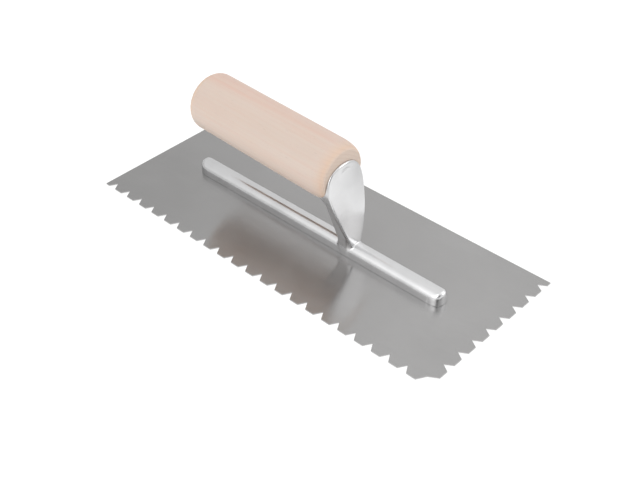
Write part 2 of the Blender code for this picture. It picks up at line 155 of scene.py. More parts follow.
def round_corners(outline, radius, steps=4):
    """Rounds the corners of a closed outline with short arcs. radius is one number or one per point."""
    points = [np.array(p, float) for p in outline]
    radii = [radius] * len(points) if np.isscalar(radius) else list(radius)
    out = []
    for i, corner in enumerate(points):
        back, ahead = points[i - 1] - corner, points[(i + 1) % len(points)] - corner
        back_length, ahead_length = np.linalg.norm(back), np.linalg.norm(ahead)
        back, ahead = back / back_length, ahead / ahead_length
        half = math.acos(max(-1, min(1, float(back @ ahead)))) / 2
        # almost straight: nothing to round
        if half > math.radians(86):
            out.append(tuple(corner))
            continue
        # an arc takes less than half of either side
        cut = min(radii[i] / math.tan(half), back_length * 0.45, ahead_length * 0.45)
        arc_r = cut * math.tan(half)
        middle = (back + ahead) / np.linalg.norm(back + ahead)
        centre = corner + middle * (arc_r / math.sin(half))
        start, end = corner + back * cut - centre, corner + ahead * cut - centre
        sweep = math.acos(max(-1, min(1, float(start @ end) / (arc_r * arc_r))))
        for step in range(steps + 1):
            t = step / steps
            spoke = math.sin((1 - t) * sweep) * start + math.sin(t * sweep) * end
            out.append(tuple(centre + spoke / math.sin(sweep)))
    return out


def place(obj, node):
    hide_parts(node)
    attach(obj, "root")


# ---- node helpers ----------------------------------------------------------------------------------
class Graph:
    """Short ways to build a node tree. A value is a number, a tuple or another node's output."""

    def __init__(self, tree):
        self.tree = tree

    def feed(self, socket, value):
        if isinstance(value, (int, float)):
            socket.default_value = value
        elif isinstance(value, tuple):
            socket.default_value = (*value, 1.0) if socket.type == "RGBA" else value
        else:
            self.tree.links.new(value, socket)

    def node(self, kind, inputs=None, **settings):
        """inputs maps a socket's name or index to its value."""
        node = self.tree.nodes.new(kind)
        for key, value in settings.items():
            setattr(node, key, value)
        for key, value in (inputs or {}).items():
            self.feed(node.inputs[key], value)
        return node

    def xyz(self, vector):
        return self.node("ShaderNodeSeparateXYZ", {0: vector}).outputs

    def calc(self, operation, *values):
        return self.node("ShaderNodeMath", dict(enumerate(values)), operation=operation).outputs[0]

    def plus(self, a, b):
        return self.calc("ADD", a, b)

    def times(self, a, b):
        return self.calc("MULTIPLY", a, b)

    def invert(self, value):
        return self.calc("SUBTRACT", 1.0, value)

    def span(self, source, over, to=(0.0, 1.0), smooth=False):
        """Maps the range over to the range to, clamped."""
        ends = dict(zip(("From Min", "From Max", "To Min", "To Max"), (*over, *to)))
        kind = "SMOOTHSTEP" if smooth else "LINEAR"
        inputs = {"Value": source, **ends}
        return self.node("ShaderNodeMapRange", inputs, interpolation_type=kind).outputs["Result"]

    def emission(self, strength):
        return self.node("ShaderNodeEmission", {"Strength": strength}).outputs[0]

    def choose(self, factor, first, second):
        """The first shader where factor is 0, the second where it is 1."""
        return self.node("ShaderNodeMixShader", {0: factor, 1: first, 2: second}).outputs[0]


class Material(Graph):
    """A material made round the default Principled BSDF."""

    def __init__(self, name):
        self.material = bpy.data.materials.new(name)
        self.material.use_nodes = True
        super().__init__(self.material.node_tree)

    def place(self):
        return self.node("ShaderNodeTexCoord").outputs["Object"]

    def noise(self, per_metre, detail=3.0, rough=0.5, distort=0.0, location=(0, 0, 0),
              rotation=(0, 0, 0)):
        """per_metre is the pattern's fineness, one number or one per axis."""
        scale = (per_metre,) * 3 if np.isscalar(per_metre) else per_metre
        mapping = self.node(
            "ShaderNodeMapping",
            {"Vector": self.place(), "Scale": scale, "Location": location, "Rotation": rotation},
        )
        inputs = {
            "Scale": 1.0,
            "Detail": detail,
            "Roughness": rough,
            "Distortion": distort,
            "Vector": mapping.outputs["Vector"],
        }
        return self.node("ShaderNodeTexNoise", inputs).outputs["Fac"]

    def ease_ramp(self, source, stops):
        """A grey ramp through (position, level) stops."""
        node = self.node("ShaderNodeValToRGB", {"Fac": source})
        node.color_ramp.interpolation = "EASE"
        while len(node.color_ramp.elements) < len(stops):
            node.color_ramp.elements.new(0.5)
        for element, (at, level) in zip(node.color_ramp.elements, stops):
            element.position = at
            element.color = (level, level, level, 1.0)
        return node.outputs["Color"]

    def mix(self, factor, first, second):
        # sockets 6 and 7 are the two colours
        inputs = {0: factor, 6: first, 7: second}
        return self.node("ShaderNodeMix", inputs, data_type="RGBA").outputs[2]

    def tint(self, colour, towards, where, over, upto=1.0):
        """Blends in a second colour as where rises through the range over."""
        return self.mix(self.span(where, over, to=(0.0, upto)), colour, towards)

    def cover(self, colour, towards, mask, amount):
        return self.mix(self.times(mask, amount), colour, towards)

    def bump(self, height, strength, distance, onto=None):
        inputs = {"Strength": strength, "Distance": distance, "Height": height}
        if onto is not None:
            inputs["Normal"] = onto
        return self.node("ShaderNodeBump", inputs).outputs["Normal"]

    def finish(self, **values):
        """Feeds the BSDF and returns the material."""
        sockets = self.tree.nodes["Principled BSDF"].inputs
        for key, value in values.items():
            self.feed(sockets[key.replace("_", " ")], value)
        return self.material


# ---- materials -------------------------------------------------------------------------------------
def blade_steel():
    """Rolled sheet with its grain along X."""
    dark, light = (0.365, 0.361, 0.358), (0.405, 0.401, 0.398)
    grain_dark, streak_light = (0.25, 0.247, 0.245), (0.52, 0.52, 0.525)
    mat = Material("blade_steel")
    grain = mat.noise((60, 5200, 900), detail=4, rough=0.65)
    fine = mat.noise((14, 1500, 300), rough=0.55, location=(3, 1, 0))
    cloud = mat.noise(14, detail=4, rough=0.6, distort=0.4)
    haze = mat.noise((45, 99, 45), detail=5, rough=0.6, location=(1, 5, 2))

    colour = mat.tint(dark, light, cloud, over=(0.3, 0.7))
    colour = mat.tint(colour, grain_dark, grain, over=(0.35, 0.65), upto=0.07)
    colour = mat.tint(colour, streak_light, fine, over=(0.3, 0.7), upto=0.07)
    rough = mat.plus(
        mat.span(cloud, over=(0.3, 0.7), to=(0.17, 0.23)),
        mat.span(haze, over=(0.35, 0.75), to=(-0.015, 0.03)),
    )
    rough = mat.plus(rough, mat.span(grain, over=(0.3, 0.7), to=(-0.02, 0.03)))
    bump = mat.bump(grain, strength=0.06, distance=0.00002)
    bump = mat.bump(fine, strength=0.06, distance=0.00003, onto=bump)
    # reflections smear across the grain, along Y
    smear = mat.node("ShaderNodeCombineXYZ", {"Y": 1.0})
    return mat.finish(
        Base_Color=colour,
        Metallic=0.93,
        Roughness=rough,
        Normal=bump,
        Anisotropic=0.85,
        Tangent=smear.outputs[0],
    )


def polished_aluminium():
    dark, light = (0.66, 0.66, 0.665), (0.71, 0.71, 0.715)
    brush_grey, pit_grey, web_shade_grey = (0.55, 0.55, 0.56), (0.32, 0.32, 0.32), (0.30, 0.29, 0.285)
    mat = Material("polished_aluminium")
    swirl = mat.noise((260, 260, 1700), detail=4, rough=0.6, distort=0.6)
    brush = mat.noise((120, 2400, 2400), rough=0.6, location=(2, 0, 4))
    wave = mat.noise(75, detail=2, location=(0, 4, 1))
    pits = mat.noise(1500, detail=2, rough=0.6, location=(5, 2, 2))
    pit = mat.span(pits, over=(0.70, 0.78))

    colour = mat.tint(dark, light, wave, over=(0.3, 0.7))
    colour = mat.tint(colour, brush_grey, brush, over=(0.35, 0.7), upto=0.07)
    colour = mat.cover(colour, pit_grey, pit, amount=0.35)
    rough = mat.plus(
        mat.span(wave, over=(0.3, 0.7), to=(0.19, 0.25)),
        mat.span(brush, over=(0.3, 0.7), to=(-0.02, 0.03)),
    )
    # painted shade on the web behind the neck's face, which is also given a rougher finish: faces
    # towards +-Y above the bar's base, less so above its lower part
    height = mat.xyz(mat.place())["Z"]
    facing = mat.xyz(mat.node("ShaderNodeNewGeometry").outputs["Normal"])["Y"]
    sideways = mat.span(mat.calc("ABSOLUTE", facing), over=(0.75, 0.92))
    raised = mat.span(height, over=(0.0055, 0.0085))
    low_down = mat.span(height, over=(0.030, 0.040), to=(1.0, 0.0))
    upper_share = 0.6
    web = mat.times(mat.times(sideways, raised), mat.calc("MAXIMUM", low_down, upper_share))
    web_roughness = 0.10
    # painted shade: the web's sides are darkened towards a dark grey
    colour = mat.cover(colour, web_shade_grey, web, amount=0.42)
    rough = mat.plus(rough, mat.times(web, web_roughness))
    bump = mat.bump(wave, strength=0.25, distance=0.0002)
    bump = mat.bump(swirl, strength=0.08, distance=0.00003, onto=bump)
    bump = mat.bump(mat.invert(pit), strength=0.12, distance=0.00003, onto=bump)
    return mat.finish(Base_Color=colour, Metallic=1.0, Roughness=rough, Normal=bump)


def growth_rings(mat, x, y, z):
    """Late wood, 0 to 1, in rings about a pith that lies well outside the handle."""
    pith_x, pith_y = -0.058, -0.041
    wander_width = 0.006
    tilt = 0.012  # growth of the ring radius along the handle
    rings_per_metre = 430.0
    wander = mat.noise((9, 9, 2.25))
    dx = mat.plus(x, -pith_x)
    dy = mat.plus(y, -pith_y)
    dx = mat.plus(dx, mat.times(mat.calc("SUBTRACT", wander, 0.5), wander_width))
    radius = mat.calc("SQRT", mat.plus(mat.times(dx, dx), mat.times(dy, dy)))
    radius = mat.plus(radius, mat.times(z, tilt))
    phase = mat.calc("FRACT", mat.times(radius, rings_per_metre))
    stops = [(0.0, 0.10), (0.55, 0.25), (0.88, 1.0), (0.97, 0.55), (1.0, 0.10)]
    return mat.ease_ramp(phase, stops)


def beech():
    """Grain runs along the object's own Z; its X points up."""
    pale, warm, pink = (0.652, 0.548, 0.478), (0.642, 0.523, 0.45), (0.662, 0.474, 0.398)
    late_brown, pore_brown = (0.57, 0.43, 0.345), (0.30, 0.20, 0.14)
    edge, end_pale, end_dark = (0.69, 0.51, 0.395), (0.69, 0.565, 0.48), (0.54, 0.40, 0.31)
    gap_shade_dark = (0.08, 0.06, 0.05)
    mat = Material("beech")
    at = mat.xyz(mat.place())
    late = growth_rings(mat, at["X"], at["Y"], at["Z"])
    streak = mat.noise((420, 420, 9), detail=4, rough=0.6, distort=0.3)
    broad = mat.noise((75, 75, 5), detail=2, location=(0, 3, 7))
    fibre = mat.noise((2600, 2600, 60), rough=0.65)
    fleck = mat.noise((1500, 1500, 170), detail=2, location=(4, 0, 9))
    fleck = mat.span(fleck, over=(0.66, 0.76))
    pore = mat.noise((3400, 3400, 230), detail=1, location=(1, 8, 3))
    pore = mat.span(pore, over=(0.68, 0.78))

    colour = mat.tint(pale, warm, broad, over=(0.38, 0.66))
    colour = mat.tint(colour, pink, streak, over=(0.40, 0.72), upto=0.45)
    # one pinker streak along the upper side, its edge wandering
    up_x, up_y, edge_wander = 0.98, 0.20, 0.008
    side = mat.plus(mat.times(at["X"], up_x), mat.times(at["Y"], up_y))
    side = mat.plus(side, mat.times(mat.calc("SUBTRACT", broad, 0.5), edge_wander))
    lobe = mat.span(side, over=(0.0160, 0.0185))
    lobe = mat.times(lobe, mat.span(streak, over=(0.3, 0.65), to=(0.45, 1.0)))
    colour = mat.mix(lobe, colour, pink)
    colour = mat.cover(colour, late_brown, late, amount=0.09)
    colour = mat.tint(colour, late_brown, fibre, over=(0.35, 0.7), upto=0.08)
    colour = mat.cover(colour, late_brown, fleck, amount=0.20)
    colour = mat.cover(colour, pore_brown, pore, amount=0.22)

    # end grain on the turned ends, by how far the surface faces along the grain
    normal = mat.node(
        "ShaderNodeVectorTransform",
        {"Vector": mat.node("ShaderNodeNewGeometry").outputs["Normal"]},
        vector_type="NORMAL",
        convert_from="WORLD",
        convert_to="OBJECT",
    )
    along = mat.calc("ABSOLUTE", mat.xyz(normal.outputs["Vector"])["Z"])
    end = mat.span(along, over=(0.10, 0.42))
    end_colour = mat.tint(edge, end_pale, along, over=(0.45, 0.95))
    end_colour = mat.cover(end_colour, end_dark, late, amount=0.25)
    dots = mat.noise((2600, 2600, 900), detail=2, rough=0.6)
    end_colour = mat.tint(end_colour, end_dark, dots, over=(0.5, 0.7), upto=0.25)
    colour = mat.cover(colour, end_colour, end, amount=0.85)

    # painted shade: an ambient occlusion node darkens the wood where it meets the metal
    near = mat.node("ShaderNodeAmbientOcclusion", {"Distance": 0.0013}, samples=8).outputs["AO"]
    colour = mat.mix(mat.span(near, over=(0.08, 0.50), to=(0.3, 0.0)), colour, gap_shade_dark)
    end_roughness = 0.10
    rough = mat.plus(
        mat.span(streak, over=(0.3, 0.7), to=(0.46, 0.56)), mat.times(end, end_roughness)
    )
    bump = mat.bump(fibre, strength=0.16, distance=0.00006)
    bump = mat.bump(mat.invert(pore), strength=0.30, distance=0.00005, onto=bump)
    bump = mat.bump(mat.invert(late), strength=0.10, distance=0.00005, onto=bump)
    return mat.finish(
        Base_Color=colour,
        Metallic=0.0,
        Roughness=rough,
        Normal=bump,
        Specular_IOR_Level=0.35,
        Subsurface_Weight=0.06,
        Subsurface_Radius=(0.0012, 0.0007, 0.0004),
        Subsurface_Scale=1.0,
        Coat_Weight=0.05,
        Coat_Roughness=0.4,
    )


def rivet_steel():
    """Ground steel with fine parallel lines."""
    dark, light = (0.47, 0.465, 0.455), (0.60, 0.60, 0.595)
    line_grey = (0.33, 0.33, 0.33)
    mat = Material("rivet_steel")
    lines = mat.noise((900, 9000, 900), rough=0.6, rotation=(0, 0, 0.35))
    patch = mat.noise(500, rough=0.6)
    colour = mat.tint(dark, light, patch, over=(0.3, 0.7))
    colour = mat.tint(colour, line_grey, lines, over=(0.4, 0.7), upto=0.25)
    rough = mat.plus(
        mat.span(patch, over=(0.3, 0.7), to=(0.26, 0.36)),
        mat.span(lines, over=(0.3, 0.7), to=(-0.03, 0.05)),
    )
    bump = mat.bump(lines, strength=0.25, distance=0.00003)
    return mat.finish(Base_Color=colour, Metallic=1.0, Roughness=rough, Normal=bump)


def plated_steel():
    """Zinc plate with small dark specks."""
    dark, light = (0.55, 0.56, 0.55), (0.70, 0.70, 0.66)
    speck_grey = (0.35, 0.34, 0.31)
    mat = Material("plated_steel")
    patch = mat.noise(420, detail=4, rough=0.6)
    speck = mat.noise(2600, detail=2, rough=0.6, location=(3, 3, 1))
    colour = mat.tint(dark, light, patch, over=(0.3, 0.7))
    colour = mat.tint(colour, speck_grey, speck, over=(0.60, 0.75), upto=0.4)
    rough = mat.span(patch, over=(0.3, 0.7), to=(0.28, 0.42))
    bump = mat.bump(speck, strength=0.10, distance=0.00003)
    return mat.finish(Base_Color=colour, Metallic=1.0, Roughness=rough, Normal=bump)


STEEL = blade_steel()
CAST = polished_aluminium()
WOOD = beech()
GROUND = rivet_steel()
PLATED = plated_steel()

# ---- blade: a sheet with V notches on one long and one short edge, fine broken edges ---------------
NOTCH_PITCH, NOTCH_DEPTH = 12.7, 5.3
NOTCH_OPEN = NOTCH_PITCH / 2
NOTCH_FIRST = NOTCH_PITCH / 2  # from the notched corner to the middle of the corner's own notch
BLADE_CORNER_R = 0.18
BLADE_BREAK = 0.12  # width of the broken edge round both faces
HOLE_CLEARANCE = 0.05
HOLE_LIP = 0.03


def notched_edge(length):
    """Notch corners as (distance along the edge, depth) from the notched corner."""
    points, half, centre = [], NOTCH_OPEN / 2, NOTCH_FIRST + NOTCH_PITCH
    while centre + half < length:
        points += [(centre - half, 0.0), (centre, NOTCH_DEPTH), (centre + half, 0.0)]
        centre += NOTCH_PITCH
    return points


def blade_outline():
    """Anticlockwise, from the cut-away corner at +X, -Y where the two rows of notches meet."""
    length, width = blade_high[0] - blade_low[0], blade_high[1] - blade_low[1]
    corner_x, corner_y = blade_high[0], blade_low[1]
    reach = NOTCH_FIRST + NOTCH_OPEN / 2
    meet = reach / (1 + (NOTCH_OPEN / 2) / NOTCH_DEPTH)
    outline = [(corner_x - meet, corner_y + meet), (corner_x, corner_y + reach)]
    outline += [(corner_x - depth, corner_y + along) for along, depth in notched_edge(width)]
    outline += [(corner_x, -corner_y), (-corner_x, -corner_y), (-corner_x, corner_y)]
    long_edge = reversed(notched_edge(length))
    outline += [(corner_x - along, corner_y + depth) for along, depth in long_edge]
    outline += [(corner_x - reach, corner_y)]
    return outline


def inset(outline, distance):
    """The closed anticlockwise outline moved inwards by a small distance."""
    before, after = outline - np.roll(outline, 1, 0), np.roll(outline, -1, 0) - outline
    before /= np.linalg.norm(before, axis=1)[:, None]
    after /= np.linalg.norm(after, axis=1)[:, None]
    inward_before = np.stack([-before[:, 1], before[:, 0]], 1)
    inward_after = np.stack([-after[:, 1], after[:, 0]], 1)
    move = inward_before + inward_after
    move /= (1 + (inward_before * inward_after).sum(1))[:, None]
    return outline + move * distance


def join_rings(bm, rings, inward=False):
    for low, high in zip(rings[:-1], rings[1:]):
        for i in range(len(low)):
            j = (i + 1) % len(low)
            first, second = (j, i) if inward else (i, j)
            bm.faces.new((low[first], low[second], high[second], high[first]))


def build_blade():
    outline = np.array(round_corners(blade_outline(), BLADE_CORNER_R, steps=3))
    shoulder = BLADE_BREAK * 0.3
    # (inset, height) from the underside up
    levels = [
        (BLADE_BREAK, 0.0),
        (shoulder, shoulder),
        (0.0, BLADE_BREAK),
        (0.0, BLADE_T - BLADE_BREAK),
        (shoulder, BLADE_T - shoulder),
        (BLADE_BREAK, BLADE_T),
    ]
    bm = bmesh.new()
    rows = [
        [bm.verts.new((x * MM, y * MM, z * MM)) for x, y in inset(outline, distance)]
        for distance, z in levels
    ]
    join_rings(bm, rows)

    # countersunk holes: a wide rim below, a narrow one on top
    hole_profile = [
        (RIVET_HEAD_R + HOLE_CLEARANCE + HOLE_LIP, 0.0),
        (RIVET_HEAD_R + HOLE_CLEARANCE, HOLE_LIP),
        (RIVET_SHANK_R + HOLE_CLEARANCE, BLADE_T),
    ]
    underside, top = [rows[0]], [rows[-1]]
    for x in RIVET_X:
        rings = [
            [
                bm.verts.new(((x + r * math.cos(a)) * MM, r * math.sin(a) * MM, z * MM))
                for a in full_turn(HOLE_SEGMENTS)
            ]
            for r, z in hole_profile
        ]
        join_rings(bm, rings, inward=True)
        underside.append(rings[0])
        top.append(rings[-1])
    for loops in (underside, top):
        edges = [
            bm.edges.get((loop[i], loop[(i + 1) % len(loop)]))
            for loop in loops
            for i in range(len(loop))
        ]
        bmesh.ops.triangle_fill(bm, use_beauty=True, use_dissolve=False, edges=edges)
    bmesh.ops.recalc_face_normals(bm, faces=bm.faces)
    data = bpy.data.meshes.new("blade_sheet")
    bm.to_mesh(data)
    bm.free()
    obj = bpy.data.objects.new("blade_sheet", data)
    scene.collection.objects.link(obj)
    data.shade_smooth()
    data.set_sharp_from_angle(angle=math.radians(20))
    data.materials.append(STEEL)
    return obj


place(build_blade(), "blade")

# ---- rivets: countersunk heads, flush with the underside -------------------------------------------
# (radius, height), from the top down
RIVET_PROFILE = [
    (0.9, RIVET_TOP - 0.02),
    (RIVET_SHANK_R - 0.15, RIVET_TOP - 0.25),
    (RIVET_SHANK_R, RIVET_TOP - 0.9),
    (RIVET_SHANK_R, BLADE_T + 0.02),
    (RIVET_HEAD_R - 0.03, 0.09),
    (RIVET_HEAD_R, 0.06),
    (RIVET_HEAD_R - 0.06, 0.012),
    (RIVET_HEAD_R - 0.5, 0.004),
    (RIVET_HEAD_R - 1.6, 0.0),
    (0.7, 0.0),
]


def build_rivet(number, x):
    return ring_surface(
        f"flush_rivet_{number}",
        turn(RIVET_PROFILE, HOLE_SEGMENTS),
        GROUND,
        closed=False,
        smooth_angle=25,
        matrix=Matrix.Translation((x * MM, 0, 0)),
    )


for number, x in enumerate(RIVET_X, 1):
    place(build_rivet(number, x), f"rivet_{number}")


# ---- distance fields: negative inside, in millimetres ----------------------------------------------
def smoothstep(t):
    t = np.clip(t, 0.0, 1.0)
    return t * t * (3 - 2 * t)


def smooth_min(a, b, width):
    """Union of two fields with a fillet."""
    share = np.clip(0.5 + 0.5 * (b - a) / width, 0, 1)
    return b + (a - b) * share - width * share * (1 - share)


def smooth_max(a, b, width):
    """Intersection of two fields with a softened edge."""
    return -smooth_min(-a, -b, width)


def round_max(a, b, r):
    """Intersection of two fields whose shared edge is an arc of radius r."""
    beyond = np.hypot(np.maximum(a + r, 0), np.maximum(b + r, 0))
    return np.minimum(np.maximum(a, b) + r, 0) + beyond - r


def distance_to_segments(points, starts, ends):
    best = np.full(len(points), 1e9)
    for a, b in zip(starts, ends):
        e = b - a
        t = np.clip(((points - a) @ e) / (e @ e), 0, 1)
        best = np.minimum(best, np.linalg.norm(points - a - t[:, None] * e, axis=1))
    return best


class DistanceGrid:
    """A field of (distance from the centreline, height) kept on a fine grid from distance 0."""

    def __init__(self, values, step, floor):
        self.values, self.step, self.floor = values, step, floor

    def __call__(self, across, height):
        grid = self.values
        u = np.clip(across / self.step, 0, grid.shape[0] - 1.001)
        v = np.clip((height - self.floor) / self.step, 0, grid.shape[1] - 1.001)
        i, j = u.astype(int), v.astype(int)
        a, b = u - i, v - j
        low = grid[i, j] * (1 - a) + grid[i + 1, j] * a
        high = grid[i, j + 1] * (1 - a) + grid[i + 1, j + 1] * a
        return low * (1 - b) + high * b


# ---- the bar's section -----------------------------------------------------------------------------
BAR_FLAT = 0.9  # half width of the flat ridge, before the section is scaled to its base
# shoulders below the ridge: (slope in degrees where the arc ends, radius)
BAR_ARCS = ((32, 3.4), (45, 8.0), (57, 6.5), (68, 5.5), (80, 5.0), (87, 4.0))


def bar_section():
    """Half section as (distance from the centreline, height), from the ridge down."""
    y, z, angle = BAR_FLAT, BAR_TOP, 0.0
    points = [(0.0, z), (y, z)]
    for end, radius in BAR_ARCS:
        steps = max(3, int((end - angle) / 2))
        for k in range(steps):
            slope = math.radians(angle + (end - angle) * (k + 0.5) / steps)
            length = radius * math.radians((end - angle) / steps)
            y, z = y + length * math.cos(slope), z - length * math.sin(slope)
            points.append((y, z))
        angle = end
    points.append((y + (z - BLADE_T) / math.tan(math.radians(angle)), BLADE_T))
    # the base is made exactly BAR_HALF to each side
    scale = BAR_HALF / points[-1][0]
    return [(a * scale, b) for a, b in points]


def bar_section_grid(half, floor=-4.0, step=0.04):
    """The section carried straight down to floor, as a grid."""
    right = half + [(half[-1][0], floor)]
    loop = np.array([(-a, b) for a, b in reversed(right[1:])] + right[1:])
    across = np.arange(0.0, 12.0, step)
    height = np.arange(floor - 2.0, half[0][1] + 6.0, step)
    A, H = np.meshgrid(across, height, indexing="ij")
    points = np.stack([A.ravel(), H.ravel()], 1)
    ends = np.roll(loop, -1, 0)
    inside = np.full(len(points), True)
    for a, b in zip(loop, ends):
        e = b - a
        inside &= (e[0] * (points[:, 1] - a[1]) - e[1] * (points[:, 0] - a[0])) <= 0
    best = distance_to_segments(points, loop, ends)
    return DistanceGrid(np.where(inside, -best, best).reshape(A.shape), step, floor - 2.0)


BAR_SECTION = bar_section_grid(bar_section())

# ---- the neck's outline, seen along X --------------------------------------------------------------
NECK_HALF, NECK_WIDE_Z = 15.0, 48.0  # widest half width and its height
NECK_RISE, NECK_ROUND_POWER = 16.2, 2.3  # superellipse above the widest place
NECK_TAPER, NECK_TAPER_POWER = 49.6, 1.5  # narrowing below it
NECK_TOP = NECK_WIDE_Z + NECK_RISE
# the +X face leans back from foot to head between two heights
NECK_FOOT_X, NECK_HEAD_X, NECK_LEAN_Z0, NECK_LEAN_Z1 = 36.4, 27.0, 8.0, 62.0


def front_x(z):
    lean = smoothstep((z - NECK_LEAN_Z0) / (NECK_LEAN_Z1 - NECK_LEAN_Z0))
    return NECK_FOOT_X - (NECK_FOOT_X - NECK_HEAD_X) * lean


def half_width(z):
    below = (np.maximum(NECK_WIDE_Z - z, 0) / NECK_TAPER) ** NECK_TAPER_POWER
    above = (np.maximum(z - NECK_WIDE_Z, 0) / NECK_RISE) ** NECK_ROUND_POWER
    crown = NECK_HALF * np.maximum(0.0, 1 - above) ** (1 / NECK_ROUND_POWER)
    return np.where(z <= NECK_WIDE_Z, NECK_HALF * (1 - below), crown)


def neck_outline_grid(floor=-4.0, step=0.1):
    lowest = 0.5  # the outline runs straight down from here
    crown = NECK_WIDE_Z + NECK_RISE * np.sin(np.linspace(0, math.pi / 2, 90))
    z = np.concatenate([np.linspace(-2.0, NECK_WIDE_Z, 120)[:-1], crown])
    line = np.stack([half_width(np.maximum(z, lowest)), z], 1)
    A, H = np.meshgrid(np.arange(0.0, 24.0, step), np.arange(floor, 74.0, step), indexing="ij")
    points = np.stack([A.ravel(), H.ravel()], 1)
    best = distance_to_segments(points, line[:-1], line[1:])
    inside = (A < half_width(np.maximum(H, lowest))) & (H < NECK_TOP)
    return DistanceGrid(np.where(inside.ravel(), -best, best).reshape(A.shape), step, floor)


NECK_OUTLINE = neck_outline_grid()

# ---- mounting: one casting, made from smooth fields ------------------------------------------------
# tongue: the shield-shaped plate at the neck's +X side
TONGUE_CROWN_R = 80.0
TONGUE_ROLL, TONGUE_ROLL_Z, TONGUE_ROLL_RISE = 1.0, 46.0, 18.0
TONGUE_T = 2.7
# (added thickness, height where it starts, rise over which it grows)
TONGUE_THICKENING = ((0.8, 22.0, 12.0), (5.6, 37.0, 8.0))
TONGUE_RIM_R, TONGUE_RIM_GROWTH, TONGUE_RIM_Z, TONGUE_RIM_RISE = 0.8, 0.3, 36.0, 16.0
TONGUE_BACK_R = 0.5
TONGUE_LEAN_SCALE = 0.97  # turns an offset along X into a distance from the leaning face

# web: the upright rib at the tongue's -X side
WEB_HALF, WEB_FOOT_HALF = 4.0, 5.8
WEB_THIN_Z, WEB_THIN_RISE, WEB_THIN_POWER = 8.0, 22.0, 1.2
WEB_REAR_X, WEB_REAR_Z, WEB_REAR_SLOPE = 25.8, 10.5, 0.59
WEB_TOE, WEB_TOE_Z, WEB_TOE_RISE = 2.2, 7.0, 6.0  # the rear edge runs out at its foot
WEB_SIDE_SCALE, WEB_REAR_SCALE = 0.985, 0.86  # offsets to distances on the sloping sides
WEB_LOW_Z, WEB_LOW_RISE = 8.0, 9.0
WEB_FRONT_SET, WEB_FRONT_LOW_SET = 1.3, 0.5  # behind the tongue's face, higher up and at the foot
WEB_FRONT_R, WEB_FRONT_LOW_R = 0.5, 2.4  # the second is added at the foot
WEB_REAR_R, WEB_TOP, WEB_TOP_R = 0.9, 46.0, 0.5

BAR_CAP_R, BAR_CAP_EDGE = 8.0, 2.6  # the bar's rounded ends: in plan, and over their edge
WEB_FILLET, FOOT_FILLET = 1.8, 1.1
HANDLE_GAP = 0.12
# softening where the neck meets the wood; it grows towards -X over the web's upper end
SEAT_SOFT, SEAT_SOFTER, SEAT_SOFTER_X, SEAT_SOFTER_RUN = 0.25, 0.85, 20.0, 8.0
BOSS_CLEARANCE, BOSS_START, BOSS_EDGE = 0.02, -2.2, 0.6
STUD_HOLE_CLEARANCE, STUD_HOLE_BEFORE, STUD_HOLE_BEYOND, STUD_HOLE_SOFT = 0.05, 0.1, 2, 0.2
BASE_GAP, BASE_SOFT = 0.01, 0.35
SHANK_CLEARANCE, SHANK_HEADROOM, SHANK_SOFT = 0.06, 0.1, 0.15


def tongue_field(x, y, z):
    outline = NECK_OUTLINE(np.abs(y), z)
    width = half_width(np.clip(z, 1.0, NECK_WIDE_Z))
    bulge = (width**2 - np.minimum(np.abs(y), width) ** 2) / (2 * TONGUE_CROWN_R)
    # the face rolls back towards its top rim
    rolled = np.clip(z - TONGUE_ROLL_Z, 0, TONGUE_ROLL_RISE) / TONGUE_ROLL_RISE
    roll = TONGUE_ROLL * rolled**2
    front = (x - (front_x(z) + bulge - roll)) * TONGUE_LEAN_SCALE
    thick = TONGUE_T
    for added, start, rise in TONGUE_THICKENING:
        thick = thick + added * smoothstep((z - start) / rise)
    back = (front_x(z) - thick) - x
    rim = TONGUE_RIM_R + TONGUE_RIM_GROWTH * smoothstep((z - TONGUE_RIM_Z) / TONGUE_RIM_RISE)
    return round_max(round_max(outline, front, rim), back, TONGUE_BACK_R)


def web_field(x, y, z):
    """Widest at its foot, thinner higher up, its rear edge leaning towards -X."""
    up = np.clip((z - WEB_THIN_Z) / WEB_THIN_RISE, 0, 1)
    half = WEB_FOOT_HALF - (WEB_FOOT_HALF - WEB_HALF) * (1 - (1 - up) ** WEB_THIN_POWER)
    toe = WEB_TOE * np.clip(1 - (z - WEB_TOE_Z) / WEB_TOE_RISE, 0, 1) ** 2
    rear_x = WEB_REAR_X - WEB_REAR_SLOPE * (z - WEB_REAR_Z) - toe
    side = (np.abs(y) - half) * WEB_SIDE_SCALE
    rear = (rear_x - x) * WEB_REAR_SCALE
    low = np.clip(1 - (z - WEB_LOW_Z) / WEB_LOW_RISE, 0, 1)
    front = x - (front_x(z) - WEB_FRONT_SET * (1 - low) - WEB_FRONT_LOW_SET * low)
    web = round_max(side, rear, WEB_REAR_R)
    web = round_max(web, front, WEB_FRONT_R + WEB_FRONT_LOW_R * low)
    return round_max(web, z - WEB_TOP, WEB_TOP_R)


def along_axis(x, y, z):
    """(distance along the handle's axis from its front face, distance from the axis)"""
    px, pz = x - AXIS_X, z - AXIS_Z
    s = px * AXIS[0] + pz * AXIS[2]
    rx, rz = px - s * AXIS[0], pz - s * AXIS[2]
    return s, np.sqrt(rx * rx + y * y + rz * rz)


def handle_field(s, r):
    """The handle's outer form near its front end."""
    # quarter ellipse at the front rim, by scaling along the axis
    squeeze = FRONT_ROUND_R / FRONT_ROUND_L
    a, b = (FRONT_ROUND_L - s) * squeeze, r - (HANDLE_R - FRONT_ROUND_R)
    reach = np.hypot(np.maximum(a, 0), np.maximum(b, 0))
    corner = reach + np.minimum(np.maximum(a, b), 0) - FRONT_ROUND_R
    # the scaled field is compressed along the axis: restore distances there
    tiny = 1e-6
    reach = np.hypot(np.maximum(a, tiny), np.maximum(b, tiny))
    steep = np.maximum(a, tiny) / np.maximum(reach, tiny)
    gradient = np.sqrt((steep * squeeze) ** 2 + (1 - steep**2))
    rim = corner / np.maximum(gradient, squeeze)
    return np.where(b < 0, np.maximum(-s, b - FRONT_ROUND_R), rim)


